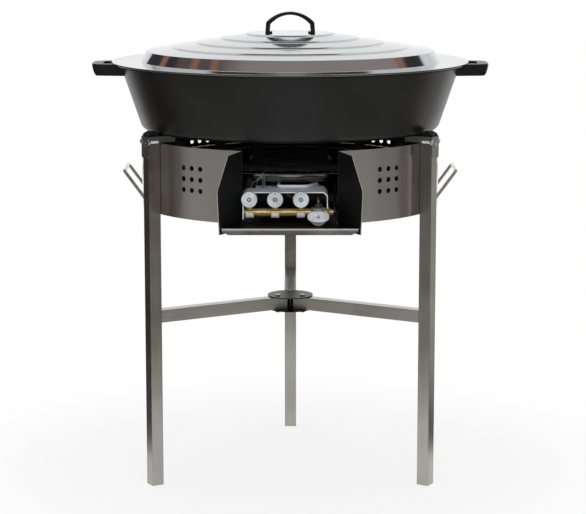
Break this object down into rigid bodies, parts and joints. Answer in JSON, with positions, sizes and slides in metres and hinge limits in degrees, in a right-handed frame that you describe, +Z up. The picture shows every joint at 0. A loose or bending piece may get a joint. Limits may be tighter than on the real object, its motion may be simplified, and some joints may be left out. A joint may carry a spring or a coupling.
{
  "type": "gas ring burner stand with pan and lid",
  "caption": "Three-legged gas burner stand with a round wind shield, ring burners and a control hood, carrying a deep two-handled pan with a stepped metal lid.",
  "frame": {"origin": "on the floor, below the stand's upright axis", "axes": "+Z up, -Y towards the person at the knobs, +X to that person's right"},
  "size_m": [0.794, 0.7201, 0.9349],
  "materials": {
    "leg_steel": "brushed stainless square tube",
    "shield_steel": "brushed stainless sheet, dark inside",
    "arm_steel": "folded stainless sheet",
    "hood_black": "black heat-proof paint",
    "black_steel": "black heat-proof paint on tube and plate",
    "stop_black": "black heat-proof block",
    "plug_black": "black plug",
    "bolt_steel": "bright zinc-plated steel",
    "brass": "turned brass",
    "knob_grey": "light grey knob",
    "valve_dark": "dark valve body",
    "clamp_steel": "bright zinc-plated clamp, nut and tube",
    "copper": "copper capillary",
    "canopy_grey": "blue-grey galvanised sheet",
    "ceramic": "white ceramic post with a steel tip",
    "pan_black": "black satin coating on a cast aluminium pan",
    "lid_steel": "polished stainless",
    "grip_black": "black heat-proof handle",
    "handle_steel": "bright steel rod"
  },
  "bodies": {
    "stand": {"arm_bolts": "bolt_steel", "arm_centre_plate": "arm_steel", "bottom_plate": "hood_black", "brace_left": "leg_steel", "brace_rear": "leg_steel", "brace_right": "leg_steel", "burner_ring_inner": "black_steel", "burner_ring_middle": "black_steel", "burner_ring_outer": "black_steel", "gas_manifold": "brass", "hood_cheek_left": "shield_steel", "hood_cheek_right": "shield_steel", "hood_floor": "hood_black", "hose_inlet": "brass", "hub_bolts": "bolt_steel", "hub_disc_bottom": "leg_steel", "hub_disc_top": "leg_steel", "hub_nuts": "bolt_steel", "igniter": "ceramic", "leg_end_plugs": "plug_black", "leg_left": "leg_steel", "leg_rear": "leg_steel", "leg_right": "leg_steel", "manifold_clamps": "clamp_steel", "mixing_tube_inner": "black_steel", "mixing_tube_middle": "black_steel", "mixing_tube_outer": "black_steel", "pan_stop_left": "stop_black", "pan_stop_rear": "stop_black", "pan_stop_right": "stop_black", "pilot_tube": "clamp_steel", "ring_hangers": "black_steel", "safety_valve": "valve_dark", "safety_valve_nut": "clamp_steel", "shield_bolts": "bolt_steel", "side_handle_left": "handle_steel", "side_handle_right": "handle_steel", "support_arm_left": "arm_steel", "support_arm_rear": "arm_steel", "support_arm_right": "arm_steel", "tap_canopy": "canopy_grey", "tap_centre": "brass", "tap_left": "brass", "tap_right": "brass", "thermocouple": "copper", "wind_shield": "shield_steel"},
    "burner_control_left": {"tap_stem_left": "brass", "burner_knob_left": "knob_grey"},
    "burner_control_centre": {"tap_stem_centre": "brass", "burner_knob_centre": "knob_grey"},
    "burner_control_right": {"tap_stem_right": "brass", "burner_knob_right": "knob_grey"},
    "safety_button": {"main_stem": "bolt_steel", "main_knob": "knob_grey"},
    "pan": {"pan": "pan_black"},
    "lid": {"lid": "lid_steel", "lid_handle": "grip_black", "lid_handle_screws": "bolt_steel"}
  },
  "joints": [
    {"name": "burner_tap_left", "type": "hinge", "parent": "stand", "child": "burner_control_left", "pos_m": [-0.0765, -0.318, 0.6025], "axis": [0, -1, 0], "range_deg": [0, 180]},
    {"name": "burner_tap_centre", "type": "hinge", "parent": "stand", "child": "burner_control_centre", "pos_m": [-0.028, -0.318, 0.6025], "axis": [0, -1, 0], "range_deg": [0, 180]},
    {"name": "burner_tap_right", "type": "hinge", "parent": "stand", "child": "burner_control_right", "pos_m": [0.0205, -0.318, 0.6025], "axis": [0, -1, 0], "range_deg": [0, 180]},
    {"name": "safety_button_push", "type": "slide", "parent": "stand", "child": "safety_button", "axis": [0, 1, 0], "range_m": [0, 0.004], "stiffness_N_per_m": 800},
    {"name": "pan_lift", "type": "slide", "parent": "stand", "child": "pan", "axis": [0, 0, 1], "range_m": [0, 0.3]},
    {"name": "lid_lift", "type": "slide", "parent": "pan", "child": "lid", "axis": [0, 0, 1], "range_m": [0, 0.3]}
  ]
}
